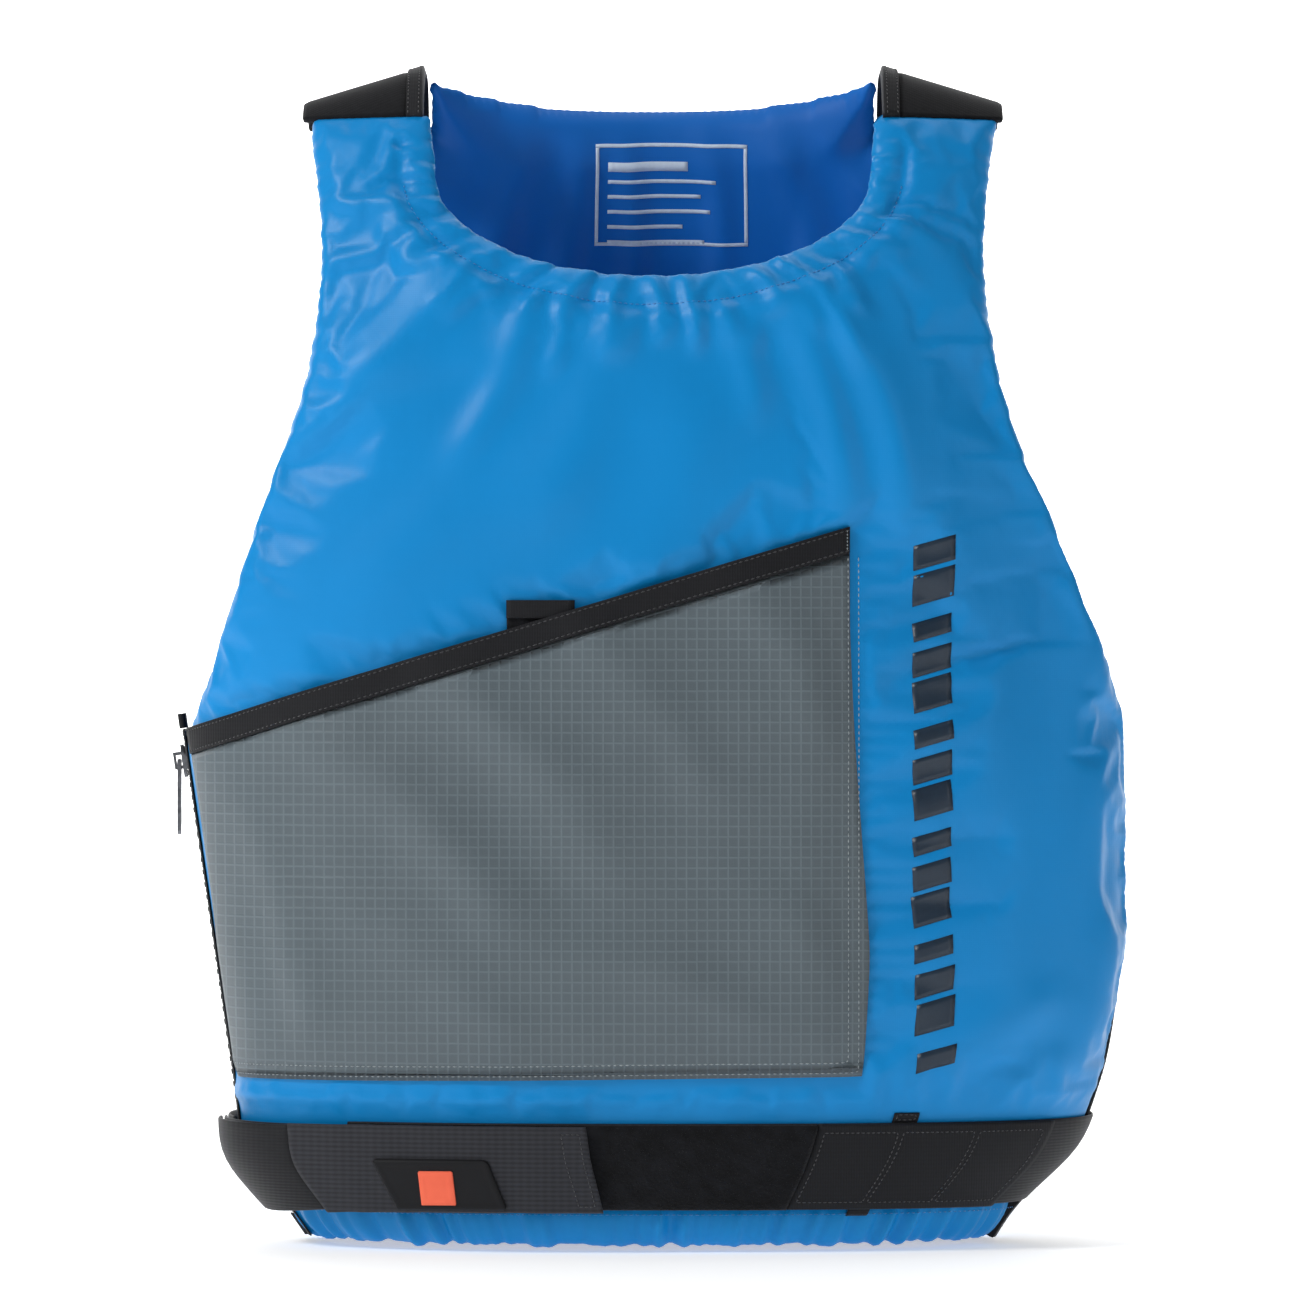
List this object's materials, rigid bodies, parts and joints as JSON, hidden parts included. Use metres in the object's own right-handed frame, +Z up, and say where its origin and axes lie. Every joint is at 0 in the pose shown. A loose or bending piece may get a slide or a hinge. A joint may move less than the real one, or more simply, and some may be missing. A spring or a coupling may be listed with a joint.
{
  "type": "buoyancy vest",
  "caption": "Foam buoyancy vest for water sports with a side zip, a slanted patch pocket and a hook-and-loop waist belt.",
  "frame": {"origin": "middle of the hem's underside, under the centre of the torso", "axes": "+Z up along the torso, -Y out of the chest, -X the wearer's right side, where the zip is"},
  "size_m": [0.4877, 0.2434, 0.6027],
  "materials": {
    "shell_fabric": "coated woven taffeta",
    "lining_fabric": "plain woven",
    "foam": "closed cell foam",
    "elastic": "braided elastic",
    "neoprene": "jersey faced neoprene",
    "binding_tape": "woven tape",
    "pocket_ripstop": "ripstop",
    "loop_pile": "brushed loop pile",
    "hook_tape": "moulded hooks on woven tape",
    "label_print": "heat transfer print",
    "belt_webbing": "woven webbing",
    "ribbed_elastic": "ribbed elastic webbing",
    "badge_rubber": "moulded rubber",
    "badge_inset": "moulded rubber",
    "zip_tape": "woven tape",
    "zip_teeth": "moulded acetal",
    "zip_metal": "gunmetal"
  },
  "bodies": {
    "vest": {"back_edge_facing": "shell_fabric", "back_foam_inner": "foam", "back_foam_outer": "foam", "back_hem_casing": "shell_fabric", "back_hem_elastic": "elastic", "back_lining": "lining_fabric", "back_outer_shell": "shell_fabric", "belt_adjust_strap": "belt_webbing", "belt_back_strap": "belt_webbing", "belt_front_strap": "belt_webbing", "belt_keeper_back_left": "belt_webbing", "belt_keeper_back_right": "belt_webbing", "belt_keeper_front": "belt_webbing", "belt_loop_panel": "loop_pile", "belt_side_loop": "belt_webbing", "front_edge_facing": "shell_fabric", "front_foam_inner": "foam", "front_foam_outer": "foam", "front_hem_casing": "shell_fabric", "front_hem_elastic": "elastic", "front_lining": "lining_fabric", "front_outer_shell": "shell_fabric", "hem_end_binding": "binding_tape", "left_shoulder_binding": "binding_tape", "left_shoulder_panel": "neoprene", "neck_band": "shell_fabric", "neck_elastic": "elastic", "pocket_binding": "binding_tape", "pocket_hook_tab": "hook_tape", "pocket_loop_patch": "loop_pile", "pocket_panel": "pocket_ripstop", "right_shoulder_binding": "binding_tape", "right_shoulder_panel": "neoprene", "side_stretch_panel": "neoprene", "size_label": "label_print", "zip_garage": "zip_tape", "zip_pin": "zip_metal", "zip_retainer_box": "zip_teeth", "zip_tape_back": "zip_tape", "zip_tape_front": "zip_tape", "zip_teeth_back": "zip_teeth", "zip_teeth_front": "zip_teeth", "zip_top_stop_back": "zip_metal", "zip_top_stop_front": "zip_metal", "zip_underflap": "lining_fabric"},
    "zip_slider": {"zip_slider": "zip_metal"},
    "zip_pull": {"zip_pull": "zip_metal"},
    "belt_flap": {"belt_hook_strap": "ribbed_elastic", "belt_hook_patch": "hook_tape", "belt_badge": "badge_rubber", "belt_badge_mark": "badge_inset"}
  },
  "joints": [
    {"name": "zip_slide", "type": "slide", "parent": "vest", "child": "zip_slider", "axis": [0.1447, 0, -0.9895], "range_m": [0, 0.138]},
    {"name": "pull_swing", "type": "hinge", "parent": "zip_slider", "child": "zip_pull", "pos_m": [-0.24374, 0, 0.24566], "axis": [0, 1, 0], "range_deg": [0, 160]},
    {"name": "belt_peel", "type": "hinge", "parent": "vest", "child": "belt_flap", "pos_m": [-0.1862, -0.0765, 0.0435], "axis": [0, 0, -1], "range_deg": [0, 95]}
  ]
}
